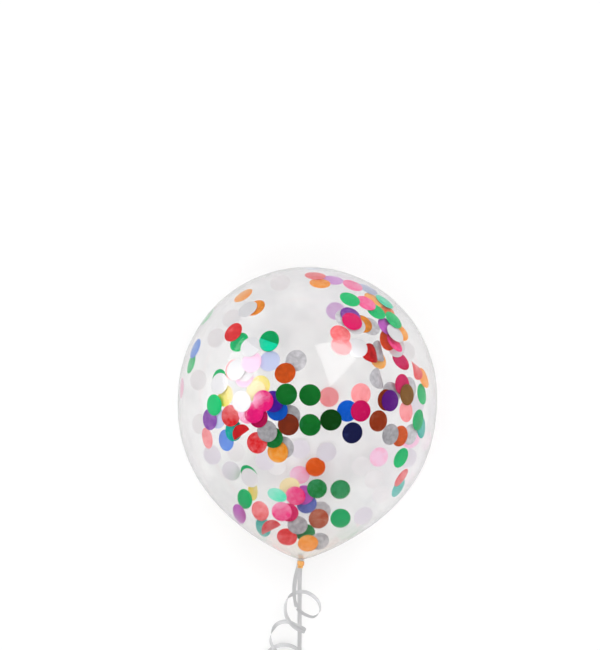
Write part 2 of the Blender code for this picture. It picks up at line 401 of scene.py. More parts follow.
@dataclass(frozen=True)
class BalloonForm:
    """The blown latex body, turned about an axis along Y, with depths measured from its crown.

    The crown is half an ellipse. From the widest ring on, the radius falls by
    (1 - u ** fullness) ** sharpness, where u is the share of the shoulder's depth.
    """

    radius: float
    crown_y: float
    axis_height: float
    crown_depth: float = 0.1506
    shoulder_depth: float = 0.1879
    fullness: float = 2.4
    sharpness: float = 0.82
    waist_radius: float = 0.0026
    waist_length: float = 0.0018
    wall: float = 0.0003
    limb: float = 0.985
    sharpest_bend: float = 20.0
    table_rows: int = 1600

    @classmethod
    def from_frame(cls) -> BalloonForm:
        """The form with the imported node's own width, place and height.

        Returns:
            The form.
        """
        low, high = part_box("balloon")
        radius = (high.x - low.x) / 2
        return cls(radius=radius, crown_y=high.y, axis_height=high.z - radius)

    @property
    def tip_depth(self) -> float:
        """The depth at which the body ends and the bare waist starts."""
        return self.crown_depth + self.shoulder_depth

    @property
    def widest(self) -> Point:
        """The middle of the widest ring."""
        return (0.0, self.crown_y - self.crown_depth, self.axis_height)

    def outline(self, share: Array) -> tuple[Array, Array]:
        """Depth and radius along the outline, from the crown's pole at 0 to the tip at 2.

        Args:
            share: places along it: the crown up to 1, and the shoulder from there.

        Returns:
            The depths and the radii.
        """
        turn = np.clip(share, 0.0, 1.0) * math.pi / 2
        along = np.sin(np.clip(share - 1.0, 0.0, 1.0) * math.pi / 2)
        left = np.clip(1 - along**self.fullness, 0.0, 1.0) ** self.sharpness
        depth = self.crown_depth * (1 - np.cos(turn)) + self.shoulder_depth * along
        shoulder = self.waist_radius + (self.radius - self.waist_radius) * left
        return depth, np.where(share <= 1.0, self.radius * np.sin(turn), shoulder)

    def table(self, inset: float) -> dict[str, Array]:
        """The outline as evenly cut numbers, moved inwards square to itself.

        Args:
            inset: how far inwards.

        Returns:
            Arrays by name: y, radius, the outward normal's parts out and ahead (along Y), and the two
            curvatures.
        """
        depth, radius = self.outline(np.linspace(0.0, 2.0, self.table_rows))
        y = self.crown_y - depth
        line = unit(np.column_stack([np.gradient(radius), np.gradient(y)]))
        out, ahead = -line[:, 1], line[:, 0]
        angle = np.unwrap(np.arctan2(ahead, out))
        run = run_of(np.column_stack([radius, y, np.zeros_like(y)]))
        bend = -np.gradient(angle, run)
        inner = np.maximum(radius - out * inset, TINY)
        most = self.sharpest_bend
        return {"y": y - ahead * inset, "radius": inner, "out": out, "ahead": ahead,
                "along": np.clip(bend, 0.0, most), "round": np.clip(out / inner, 0.0, most)}

    def read(self, y: Array, inset: float) -> dict[str, Array]:
        """The table's numbers at these places along Y.

        Args:
            y: the places.
            inset: how far inwards the outline is moved.

        Returns:
            Arrays by name, as in the table.
        """
        table = self.table(inset)
        order = np.argsort(table["y"])
        return {name: np.interp(y, table["y"][order], values[order]) for name, values in table.items()}

    def wall_at(self, view: PhotoView, columns: Array, rows: Array, near: Array, inset: float) -> Array:
        """Points of the wall that show at these pixels of the photograph.

        A pixel's place at the axis' height is slid along its line of sight to the wall's own height there,
        and that is repeated until it settles.

        Args:
            view: where the pixels lie.
            columns: the pixels' columns.
            rows: their rows.
            near: 1 for the wall towards the camera and -1 for the far one.
            inset: how far inside the outer skin.

        Returns:
            The points.
        """
        flat = view.on_plane(columns, rows)
        eye = view.eye[:2]
        rise = np.zeros(len(flat))
        for _ in range(view.sight_rounds):
            place = eye + (flat - eye) * (1 - rise / view.height)[:, None]
            radius = self.read(place[:, 1], inset)["radius"]
            x = np.clip(place[:, 0], -self.limb * radius, self.limb * radius)
            rise = near * np.sqrt(radius**2 - x**2)
        return np.column_stack([x, place[:, 1], self.axis_height + rise])

    def normals(self, points: Array, inset: float) -> Array:
        """The outward normals at points of the wall.

        Args:
            points: the points.
            inset: how far inside the outer skin they are.

        Returns:
            The unit normals.
        """
        read = self.read(points[:, 1], inset)
        spoke = unit(np.column_stack([points[:, 0], np.zeros(len(points)), points[:, 2] - self.axis_height]))
        return read["out"][:, None] * spoke + read["ahead"][:, None] * np.array([0.0, 1.0, 0.0])


@dataclass(frozen=True)
class PhotoView:
    """How the photograph looks at the balloon: where its pixels lie, and the camera that repeats it.

    Pixels are counted in a frame of 600 by 650, from its top left corner.
    """

    widest: Point
    pixel: float = 0.001158
    lean: float = math.radians(2.3)
    height: float = 3.0
    frame_width: float = 600.0
    frame_height: float = 650.0
    widest_column: float = 307.5
    widest_row: float = 397.0
    sensor: float = 36.0
    sight_rounds: int = 6

    @property
    def right(self) -> Array:
        """The picture's right, in the model's frame."""
        return np.array([math.cos(self.lean), math.sin(self.lean), 0.0])

    @property
    def up(self) -> Array:
        """The picture's upright, in the model's frame."""
        return np.array([-math.sin(self.lean), math.cos(self.lean), 0.0])

    @property
    def eye(self) -> Array:
        """Where the camera is: straight over the picture's middle.

        Returns:
            The point.
        """
        across = (self.frame_width / 2 - self.widest_column) * self.pixel
        along = (self.widest_row - self.frame_height / 2) * self.pixel
        above = np.array([0.0, 0.0, self.height])
        return np.array(self.widest) + self.right * across + self.up * along + above

    def on_plane(self, columns: Array, rows: Array) -> Array:
        """Where pixels lie at the height of the balloon's axis.

        Args:
            columns: the pixels' columns.
            rows: their rows.

        Returns:
            X and Y of each.
        """
        across = (np.asarray(columns) - self.frame_width / 2) * self.pixel
        along = (self.frame_height / 2 - np.asarray(rows)) * self.pixel
        return self.eye[:2] + across[:, None] * self.right[:2] + along[:, None] * self.up[:2]

    def at_height(self, columns: Array, rows: Array, heights: Array) -> Array:
        """The points at these heights that show at these pixels.

        Args:
            columns: the pixels' columns.
            rows: their rows.
            heights: the points' Z.

        Returns:
            The points.
        """
        eye = self.eye
        share = (eye[2] - np.asarray(heights)) / self.height
        flat = eye[:2] + (self.on_plane(columns, rows) - eye[:2]) * share[:, None]
        return np.column_stack([flat, heights])

    def pixels_of(self, points: Array) -> Array:
        """Where points show in the photograph.

        Args:
            points: the points.

        Returns:
            A column and a row for each.
        """
        flat = (points[:, :2] - self.eye[:2]) * (self.height / (self.eye[2] - points[:, 2]))[:, None]
        column = self.frame_width / 2 + flat @ self.right[:2] / self.pixel
        row = self.frame_height / 2 - flat @ self.up[:2] / self.pixel
        return np.column_stack([column, row])

    def add_camera(self) -> None:
        """Makes the camera and sets it as the scene's."""
        lens = bpy.data.cameras.new("camera")
        lens.sensor_fit = "VERTICAL"
        lens.sensor_height = self.sensor
        lens.lens = self.sensor * self.height / (self.frame_height * self.pixel)
        camera = placed("camera", lens)
        camera.location = self.eye
        camera.rotation_euler = (0.0, 0.0, self.lean)
        bpy.context.scene.camera = camera


# The ribbon


@dataclass(frozen=True)
class RibbonSatin:
    """Pale silver-grey curling ribbon, with a satin gloss and fine ribs along it."""

    colour: Colour = linear(222, 222, 223)
    shade: Colour = linear(194, 194, 197)
    shine: float = 0.20
    coat: float = 0.25
    coat_roughness: float = 0.20
    roughness: Pair = (0.27, 0.38)
    cloud_stretch: Point = (2.0, 30.0, 1.0)
    cloud_range: Pair = (0.3, 0.7)
    cloud_share: float = 0.7
    ribs: float = 11.0
    rib_height: float = 0.00006
    rib_share: float = 0.22

    def material(self) -> Material:
        """Builds it on the strip's own uv, which runs 0 to 1 across and in metres along.

        Returns:
            The material.
        """
        sheet = NodeSheet(bpy.data.materials.new("ribbon_satin"))
        place = sheet.place("UV")
        rib = sheet.sum("SINE", sheet.sum("MULTIPLY", sheet.part(place, "X"), math.tau * self.ribs))
        stretch = sheet.add("ShaderNodeMapping", {"Scale": self.cloud_stretch, "Vector": place})
        cloud = sheet.noise(1.0, 3.0, stretch.outputs["Vector"])
        clouds = sheet.ranged(cloud, *self.cloud_range, 0.0, self.cloud_share)
        tone = sheet.added(clouds, rib, self.rib_share)
        sheet.set(base_color=sheet.mixed(tone, self.colour, self.shade),
                  roughness=sheet.ranged(cloud, *self.cloud_range, *self.roughness),
                  metallic=self.shine, coat_weight=self.coat, coat_roughness=self.coat_roughness)
        sheet.bump(rib, self.rib_height)
        return sheet.owner


@dataclass(frozen=True)
class Ribbon:
    """One length of ribbon tied round the neck, with a long straight tail and a short curled one.

    The straight tail hangs, lies out along the surface and is wound into a coil on edge. The curled one is a
    helix about a line that comes down from the tie. Its sightings are each a column and a row in the
    photograph and a height. The straight tail's route is X, distance out from the tie, and Z.
    """

    tie_y: float
    knot_bottom_z: float
    axis_height: float
    view: PhotoView
    width: float = 0.0050
    thickness: float = 0.00022
    camber: float = 0.00015
    section_points: int = 7
    row_spacing: float = 0.0022
    strip_thickness: float = 0.0006
    touch_gap: float = 0.0003
    surface_gap: float = 0.0001
    waist_radius: float = 0.0026
    bead_radius: float = 0.0017
    band_thickness: float = 0.0012
    band_spread: float = math.radians(38)
    band_rows: int = 97
    band_corners: int = 24
    folds: int = 4
    fold_twist: int = 5
    fold_depth: float = 0.13
    fold_least: float = 0.4
    coil_mean_radius: float = 0.0250
    coil_length: float = 0.90
    coil_turn_spacing: float = 0.0019
    tail_length: float = 1.20
    tail_turn_start: float = 0.130
    tail_turn_end: float = 0.165
    tail_route: tuple[Point, ...] = (
        (0.0, 0.0006, 0.120), (0.0, 0.0014, 0.090), (0.0, 0.0020, 0.060), (0.0, 0.0034, 0.032),
        (0.0, 0.0080, 0.012), (0.0, 0.0180, 0.003), (0.0, 0.0330, 0.0), (0.0008, 0.0600, 0.0),
        (0.0022, 0.0950, 0.0), (0.0034, 0.1300, 0.0), (0.0038, 0.1500, 0.0), (0.0038, 0.1700, 0.0),
    )
    curl_length: float = 0.54
    curl_turn_length: float = 0.120
    curl_axis_rise: float = 0.35
    curl_row_share: float = 0.6
    curl_samples: int = 3000
    curl_level_until: float = 0.015
    curl_wide_from: float = 0.060
    curl_sightings: tuple[Point, ...] = (
        (299.4, 560.0, 0.1408), (298.6, 565.5, 0.1385), (297.2, 571.0, 0.1345), (295.2, 580.0, 0.1265),
        (294.2, 590.0, 0.1170), (294.8, 600.0, 0.1085), (298.5, 609.5, 0.1020), (306.0, 615.0, 0.0970),
        (314.0, 616.8, 0.0920), (319.4, 612.5, 0.0865), (319.6, 604.5, 0.0800), (313.5, 596.3, 0.0735),
        (304.0, 591.8, 0.0685), (294.5, 593.3, 0.0655), (288.0, 598.0, 0.0645), (285.3, 606.0, 0.0655),
        (286.0, 614.5, 0.0680), (291.0, 623.5, 0.0690), (298.5, 629.5, 0.0655), (305.0, 631.5, 0.0580),
        (304.5, 629.5, 0.0490), (296.5, 625.5, 0.0430), (286.0, 621.5, 0.0395), (276.8, 624.3, 0.0375),
        (271.8, 632.0, 0.0370), (270.7, 641.0, 0.0385), (275.0, 650.0, 0.0425), (284.0, 656.5, 0.0440),
        (294.0, 657.0, 0.0390), (299.5, 653.0, 0.0290), (294.5, 647.5, 0.0190), (283.0, 644.8, 0.0130),
        (271.5, 649.0, 0.0110), (264.0, 658.0, 0.0130), (263.0, 669.0, 0.0210), (269.0, 679.0, 0.0310),
        (278.0, 683.0, 0.0340), (285.0, 680.0, 0.0270), (284.5, 673.0, 0.0150), (275.0, 669.0, 0.0070),
        (262.0, 671.0, 0.0045), (252.0, 678.0, 0.0075), (248.0, 688.0, 0.0160),
    )

    @property
    def bead_z(self) -> float:
        """The height of the middle of the ribbon's own knot, just under the balloon's."""
        return self.knot_bottom_z - self.touch_gap - self.bead_radius

    @property
    def coil_turns(self) -> float:
        """How many times the coil goes round."""
        return self.coil_length / (math.tau * self.coil_mean_radius)

    def section(self) -> Array:
        """The strip's cross-section: a thin band that is a little higher along its middle.

        Returns:
            The corners of the loop, as a place across and a height.
        """
        across = np.linspace(-0.5, 0.5, self.section_points) * self.width
        arch = self.camber * (1 - (2 * across / self.width) ** 2)
        top = np.column_stack([across, arch + self.thickness / 2])
        under = np.column_stack([across, arch - self.thickness / 2])[::-1]
        return np.concatenate([top, under])

    def tail_line(self) -> tuple[Array, Array]:
        """The straight tail's middle line and the way that its width points.

        It lies flat, then turns on edge. From there its radius about the coil's middle falls evenly with the
        turn.

        Returns:
            The points and the unit vectors across.
        """
        top = self.bead_z - self.bead_radius - self.touch_gap
        route = np.array([(0.0, 0.0, top), *self.tail_route])
        route[:, 1] = self.tie_y - route[:, 1]
        path = smooth_path(route, self.row_spacing)
        out = self.tie_y - path[:, 1] - self.tail_turn_start
        rise = math.pi / 2 * np.clip(out / (self.tail_turn_end - self.tail_turn_start), 0.0, 1.0)
        half = self.strip_thickness / 2
        flat = self.width / 2 - half
        path[:, 2] = np.maximum(path[:, 2], self.surface_gap + half + flat * np.sin(rise))
        line = unit(np.gradient(path, axis=0))
        level = square_to(np.broadcast_to([1.0, 0.0, 0.0], path.shape), line)
        across = level * np.cos(rise)[:, None] + np.cross(line, level) * np.sin(rise)[:, None]

        start = path[-1]
        apart = half + self.touch_gap
        outer = self.coil_mean_radius + self.coil_turns * self.coil_turn_spacing / 2
        turn = np.linspace(0.0, self.coil_turns * math.tau, round(self.coil_length / self.row_spacing))[1:]
        inwards = self.coil_turn_spacing * turn / math.tau + apart * eased(turn, 0.0, math.pi / 2)
        radius = outer + apart - inwards
        sideways = apart + outer - radius * np.cos(turn)
        coil = start + np.column_stack([sideways, -radius * np.sin(turn), np.zeros_like(turn)])
        on_edge = np.broadcast_to([0.0, 0.0, 1.0], coil.shape)
        return np.concatenate([path, coil]), np.concatenate([across, on_edge])

    def curl_line(self) -> tuple[Array, Array]:
        """The curled tail's middle line and the way that its width points.

        The line runs through the points that the photograph shows, each with its own height. The width
        points along the curl's axis, which is the line averaged over a turn, and starts level at the tie.

        Returns:
            The points and the unit vectors across.
        """
        spacing = self.row_spacing * self.curl_row_share
        route = self.view.at_height(*np.array(self.curl_sightings).T)
        line = smooth_path(route, spacing, self.curl_samples)
        line[:, 2] = np.maximum(line[:, 2], self.width / 2 + self.surface_gap)
        half = round(self.curl_turn_length / spacing / 2)
        padded = np.pad(line, ((half, half), (0, 0)), mode="edge")
        total = np.concatenate([np.zeros((1, 3)), np.cumsum(padded, axis=0)])
        middle = (total[2 * half:] - total[:-2 * half])[:len(line)] / (2 * half)
        axis = unit(unit(np.gradient(middle, axis=0)) * np.array([1.0, 1.0, self.curl_axis_rise]))
        wide = eased(run_of(line), self.curl_level_until, self.curl_wide_from)[:, None]
        level = np.array([1.0, 0.0, 0.0])
        return line, square_to(level * (1 - wide) + axis * wide, unit(np.gradient(line, axis=0)))

    def add_strip(self, name: str, line: tuple[Array, Array], satin: Material) -> Piece:
        """Makes one tail of the ribbon.

        Args:
            name: the piece's name.
            line: its middle line and the way that its width points.
            satin: its material.

        Returns:
            The piece.
        """
        centres, across = line
        up = np.cross(unit(np.gradient(centres, axis=0)), across)
        return make_piece(name, swept(centres, across, up, self.section()), satin, sharp=50.0)

    def add_tie(self, satin: Material) -> Piece:
        """Makes the ribbon's hold on the neck: a bunched band round the waist, which swells into a knot.

        The band's middle line is a circle about the axis, drawn out downwards past the balloon's knot. Its
        section is a circle with folds that twist along it.

        Args:
            satin: its material.

        Returns:
            The piece.
        """
        turn = np.linspace(0.0, math.tau, self.band_rows)
        band = self.band_thickness / 2
        swell = np.exp(-((np.minimum(turn, math.tau - turn) / self.band_spread) ** 2))
        near = self.waist_radius + self.touch_gap + band
        reach = near + (self.axis_height - self.bead_z - near) * swell
        spoke = np.column_stack([np.sin(turn), np.zeros_like(turn), -np.cos(turn)])
        centres = spoke * reach[:, None] + np.array([0.0, self.tie_y, self.axis_height])
        size = band + (self.bead_radius - band) * swell**2
        corner = around(self.band_corners)
        deep = self.fold_depth * (self.fold_least + (1 - self.fold_least) * swell)
        folds = 1 + deep[:, None] * np.cos(self.folds * corner + self.fold_twist * turn[:, None])
        loops = (size[:, None] * folds)[..., None] * np.stack([np.cos(corner), np.sin(corner)], axis=-1)
        across = np.broadcast_to([0.0, 1.0, 0.0], centres.shape)
        up = np.cross(unit(np.gradient(centres, axis=0)), across)
        return make_piece("ribbon_tie_knot", swept(centres, across, up, loops), satin)

    def build(self, satin: Material) -> None:
        """Makes the whole ribbon: the tie round the neck and its two tails.

        Args:
            satin: its material.
        """
        tie = hand_over(self.add_tie(satin), "ribbon", "ribbon_tie")
        tail_line = self.tail_line()
        tail = self.add_strip("ribbon_long_tail", tail_line, satin)
        hand_over(tail, "ribbon", "ribbon_tail", "ribbon_coil")
        curl_line = self.curl_line()
        curl = self.add_strip("ribbon_curled_tail", curl_line, satin)
        hand_over(curl, "ribbon", "ribbon_curl")
        LOG.info("long tail %.3f m, curled tail %.3f m", run_of(tail_line[0])[-1], run_of(curl_line[0])[-1])


# The latex film and its knot


@dataclass(frozen=True)
class ClearLatex:
    """Clear natural latex blown thin: pale and glossy, a little cloudy, and greyer where seen edge on."""

    clear: Colour = (0.978, 0.978, 0.976)
    cloud: Colour = (0.905, 0.905, 0.911)
    edge: Colour = (0.87, 0.865, 0.87)
    neck: Colour = (0.97, 0.94, 0.90)
    roughness: float = 0.05
    ior: float = 1.20
    cloud_scale: float = 9.0
    cloud_range: Pair = (0.34, 0.70)
    streak_scale: float = 30.0
    streak_range: Pair = (0.25, 0.75)
    streak_share: float = 0.45
    edge_start: float = 0.30
    neck_start: float = -0.120
    neck_end: float = -0.163
    ripple_scale: float = 38.0
    ripple: float = 0.00005

    def material(self) -> Material:
        """Builds it on the piece's own coordinates.

        Returns:
            The material.
        """
        sheet = NodeSheet(bpy.data.materials.new("clear_latex"))
        streaks = sheet.ranged(sheet.noise(self.streak_scale, 4.0), *self.streak_range, -0.5, 0.5)
        both = sheet.added(sheet.noise(self.cloud_scale), streaks, self.streak_share)
        film = sheet.mixed(sheet.ranged(both, *self.cloud_range), self.clear, self.cloud)
        facing = sheet.add("ShaderNodeLayerWeight", {"Blend": 0.5}).outputs["Facing"]
        film = sheet.mixed(sheet.ranged(facing, self.edge_start, 1.0, smooth=True), film, self.edge)
        to_neck = sheet.ranged(sheet.part(sheet.place(), "Y"), self.neck_start, self.neck_end)
        sheet.set(base_color=sheet.mixed(to_neck, film, self.neck), transmission_weight=1.0, metallic=0.0,
                  roughness=self.roughness, ior=self.ior)
        sheet.bump(sheet.noise(self.ripple_scale), self.ripple)
        return sheet.owner


@dataclass(frozen=True)
class Film:
    """The clear latex film of the body, 0.3 mm thick, gathered into fine pleats as it runs into the neck."""

    form: BalloonForm
    rings: int = 132
    turns: int = 168
    crown_rings: float = -0.10
    pleats: int = 17
    cross_pleats: int = 29
    cross_share: float = 0.35
    pleat_depth: float = 0.00035
    pleat_limit: float = 0.10
    pleat_start: float = 0.265

    def surface(self) -> Grid:
        """The outer skin, from the crown to the end of the bare waist.

        Each point's height is kept over zero, so the body has its small flat spot. The pleats are two sines
        of the turn that fade in along the last of the shoulder, at most a tenth of the radius there.

        Returns:
            The closed surface.
        """
        form = self.form
        share = eased(np.linspace(0.0, 1.0, self.rings), self.crown_rings, 1.0)
        depth, radius = form.outline(2 * (share - share[0]) / (share[-1] - share[0]))
        end = form.tip_depth + form.waist_length
        depth = np.concatenate([depth, [(form.tip_depth + end) / 2, end, end]])
        radius = np.concatenate([radius, [form.waist_radius, form.waist_radius, 0.0]])[:, None]
        turn = around(self.turns)
        fade = eased(depth, self.pleat_start, form.tip_depth)[:, None]
        waves = (1 - self.cross_share) * np.sin(self.pleats * turn)
        waves = waves + self.cross_share * np.sin(self.cross_pleats * turn + 1.0) - 1.0
        rings = radius + np.minimum(self.pleat_depth * fade, radius * self.pleat_limit) * waves
        skin = turned(depth, np.maximum(rings, 0.0), form)
        skin.points[:, 2] = np.maximum(skin.points[:, 2], 0.0)
        return skin

    def build(self, latex: Material) -> None:
        """Makes the film.

        Args:
            latex: its material.
        """
        film = make_piece("latex_film", self.surface(), latex, sharp=180.0)
        shell = film.modifiers.new("wall", "SOLIDIFY")
        shell.thickness = self.form.wall
        shell.offset = -1.0
        film.visible_shadow = False
        film.visible_diffuse = False
        hand_over(film, "clear_latex", "balloon")


@dataclass(frozen=True)
class BunchedLatex:
    """Latex in many layers at the knot: amber and glossy, with light coming through it."""

    amber: Colour = linear(248, 200, 126)
    deep: Colour = linear(218, 152, 74)
    roughness: float = 0.28
    ior: float = 1.52
    scatter: Point = (0.0030, 0.0014, 0.0004)
    scatter_share: float = 0.6
    tone_scale: float = 420.0
    tone_range: Pair = (0.35, 0.65)
    grain_scale: float = 900.0
    grain: float = 0.0001

    def material(self) -> Material:
        """Builds it on the piece's own coordinates.

        Returns:
            The material.
        """
        sheet = NodeSheet(bpy.data.materials.new("bunched_latex"))
        tone = sheet.ranged(sheet.noise(self.tone_scale, 3.0), *self.tone_range)
        sheet.set(base_color=sheet.mixed(tone, self.amber, self.deep), roughness=self.roughness, ior=self.ior)
        sheet.set(subsurface_weight=self.scatter_share, subsurface_radius=self.scatter, subsurface_scale=1.0)
        sheet.bump(sheet.noise(self.grain_scale), self.grain)
        return sheet.owner


@dataclass(frozen=True)
class Knot:
    """The neck tied on itself, with a groove round it and the rolled lip beyond, all bunched latex."""

    form: BalloonForm
    radius: float = 0.0048
    length: float = 0.0060
    swell: float = 0.6
    groove_radius: float = 0.0030
    lobes: int = 2
    lobe_depth: float = 0.13
    creases: int = 5
    crease_depth: float = 0.055
    crease_sharpness: int = 3
    crease_twist: float = 4.2
    lip_radius: float = 0.0031
    lip_length: float = 0.0027
    lip_outline: Outline = ((0.30, 0.88), (0.60, 1.00), (0.88, 0.90), (1.00, 0.55), (1.00, 0.0))
    lip_lobes: int = 3
    lip_lobe_depth: float = 0.30
    lip_steps: int = 4
    rings: int = 34
    turns: int = 96

    @property
    def bottom_z(self) -> float:
        """The height of the knot's underside, which its two side lobes leave a little flat."""
        return self.form.axis_height - self.radius * (1 + self.lobe_depth)

    def surface(self) -> Grid:
        """The knot, the groove and the lip in one turned surface.

        The knot's radius is a power of a sine over a foot that widens from the waist to the groove. Lobes go
        round the knot and the lip, and fine creases wind round the knot as a sine of turn and depth.

        Returns:
            The closed surface.
        """
        form = self.form
        turn = around(self.turns)
        along = np.linspace(0.0, 1.0, self.rings)[:, None]
        foot = form.waist_radius + (self.groove_radius - form.waist_radius) * along
        bulge = np.sin(np.pi * along).clip(0.0)
        ball = foot + (self.radius - foot) * bulge**self.swell
        lobes = 1 + self.lobe_depth * bulge * np.cos(self.lobes * turn)
        wind = 0.5 + 0.5 * np.sin(self.creases * turn + self.crease_twist * along)
        knot = ball * lobes * (1 - self.crease_depth * bulge * wind**self.crease_sharpness)
        corners = np.array([(0.0, self.groove_radius / self.lip_radius), *self.lip_outline])
        fine = np.linspace(0.0, len(corners) - 1, self.lip_steps * (len(corners) - 1) + 1)[1:]
        down, wide = (np.interp(fine, np.arange(len(corners)), column) for column in corners.T)
        fade = np.sin(np.pi * down).clip(0.0)[:, None]
        lip = self.lip_radius * wide[:, None] * (
            1 + self.lip_lobe_depth * fade * np.cos(self.lip_lobes * turn - math.pi / 2)
        )
        start = form.tip_depth + form.waist_length
        past_start = np.concatenate([[0.0], self.length * along[:, 0], self.length + self.lip_length * down])
        return turned(start + past_start, np.concatenate([np.zeros((1, self.turns)), knot, lip]), form)

    def build(self, latex: Material) -> None:
        """Makes the knot and lip."""
        hand_over(make_piece("latex_knot", self.surface(), latex, sharp=60.0), "clear_latex", "balloon")


# The confetti


class Foil(Enum):
    """The foils that the discs are cut from: the metal's colour in even light, and its paler tint."""

    GREEN = (linear(0, 120, 38), linear(85, 195, 140))
    PINE = (linear(0, 78, 8), linear(60, 140, 100))
    EMERALD = (linear(0, 200, 116), linear(70, 220, 160))
    MINT = (linear(5, 236, 182), linear(150, 238, 212))
    TEAL = (linear(0, 176, 160), linear(130, 215, 210))
    BLUE = (linear(0, 98, 222), linear(125, 165, 232))
    NAVY = (linear(26, 30, 84), linear(100, 115, 195))
    INDIGO = (linear(72, 14, 160), linear(150, 110, 210))
    PURPLE = (linear(108, 26, 148), linear(195, 140, 220))
    ORCHID = (linear(200, 95, 200), linear(228, 195, 236))
    MAGENTA = (linear(225, 8, 100), linear(235, 140, 190))
    PINK = (linear(252, 22, 130), linear(255, 210, 236))
    RED = (linear(232, 34, 40), linear(255, 160, 164))
    ORANGE = (linear(238, 94, 20), linear(255, 176, 110))
    AMBER = (linear(255, 152, 34), linear(255, 204, 128))
    COPPER = (linear(172, 64, 28), linear(212, 165, 140))
    YELLOW = (linear(252, 234, 50), linear(248, 232, 184))
    BRONZE = (linear(132, 84, 8), linear(190, 160, 110))
    SILVER = (linear(172, 170, 174), linear(224, 221, 226))
    LILAC = (linear(198, 206, 240), linear(230, 225, 234))
    PEARL = (linear(222, 221, 224), linear(241, 239, 241))

    @property
    def label(self) -> str:
        """The name in small letters."""
        return self.name.lower()


# How much darker or paler the crinkles are on the foils where they show most, as a share of the whole way
STRONG_CRINKLES = {Foil.SILVER: 0.32, Foil.AMBER: 0.24, Foil.RED: 0.20, Foil.COPPER: 0.18, Foil.ORANGE: 0.16}


@dataclass(frozen=True)
class FoilFinish:
    """Crinkled metal foil in lighter and darker patches, or tissue where a disc is pale."""

    foil: Foil
    patches: float = 0.22
    patch_scale: float = 62.0
    patch_range: Pair = (-1.0, 0.4)
    crinkle_scale: float = 200.0
    noise_range: Pair = (0.30, 0.70)
    darkest: float = 0.3
    roughness: Pair = (0.46, 0.28)
    shine: float = 0.5
    tissue_patches: float = 0.05
    tissue_shine: float = 0.05
    tissue_start: float = 0.2
    specular: float = 0.25
    grain_scale: float = 260.0
    grain: float = 0.0003
    grain_strength: float = 0.6

    def material(self) -> Material:
        """Builds the foil, whose tint follows the disc's shade from -1, dark, to 1, pale, which holds painted
        light as well as the disc's own tint.

        Returns:
            The material.
        """
        colour, pale = self.foil.value
        tissue = self.foil in (Foil.PEARL, Foil.LILAC)
        patch_share = self.tissue_patches if tissue else self.patches
        shine = self.tissue_shine if tissue else self.shine
        sheet = NodeSheet(bpy.data.materials.new(f"foil_{self.foil.label}"))
        own = sheet.add("ShaderNodeAttribute", attribute_name="shade").outputs["Fac"]
        patches = sheet.ranged(sheet.noise(self.patch_scale, 3.0), *self.noise_range, *self.patch_range)
        crinkle = sheet.ranged(sheet.noise(self.crinkle_scale), *self.noise_range, -1.0, 1.0)
        shade = sheet.added(own, patches, patch_share)
        shade = sheet.added(shade, crinkle, STRONG_CRINKLES.get(self.foil, patch_share / 2))
        dark = tuple(part * self.darkest for part in colour)
        tint = sheet.mixed(sheet.ranged(shade, 0.0, 1.0), colour, pale)
        sheet.set(base_color=sheet.mixed(sheet.ranged(shade, 0.0, -1.0), tint, dark),
                  roughness=sheet.ranged(patches, *self.patch_range, *self.roughness),
                  metallic=sheet.ranged(own, self.tissue_start, 1.0, shine, self.tissue_shine),
                  specular_ior_level=self.specular)
        sheet.bump(sheet.noise(self.grain_scale), self.grain, self.grain_strength)
        return sheet.owner


class Lie(Enum):
    """How a disc lies: its bend in radians a metre, its crease in degrees and the near side's share of it."""

    FLAT = (0.0, 0.0, 0.5)
    CUPPED = (5.0, 0.0, 0.5)
    FOLDED = (0.0, 166.0, 1.0)
    CURLED = (60.0, 0.0, 0.5)


class Side(Enum):
    """The wall that a disc clings to: the one towards the camera, or the far one."""

    NEAR = 1.0
    FAR = -1.0


@dataclass(frozen=True)
class Disc:
    """One confetti disc: where its middle shows in the photograph, its foil and how it lies.

    The turn is the way that its crease or bend runs, in degrees counter-clockwise from the picture's right.
    A folded one shows its half to the left of that way. The face is how far the disc is turned from the
    wall's slope, at 0, to the camera, at 1, and away from the camera where it is negative. The tip is the
    slope that it is tipped by towards the picture's left.
    """

    column: float
    row: float
    foil: Foil
    # Painted light: the shade is the disc's own tint, from -1 dark to 1 pale, and is also set paler where the
    # disc sits in a soft box's glare and where light only grazes it round the crown
    shade: float = 0.0
    turn: float = 0.0
    face: float = 0.0
    tip: float = 0.0
    lie: Lie = Lie.CUPPED
    side: Side = Side.NEAR


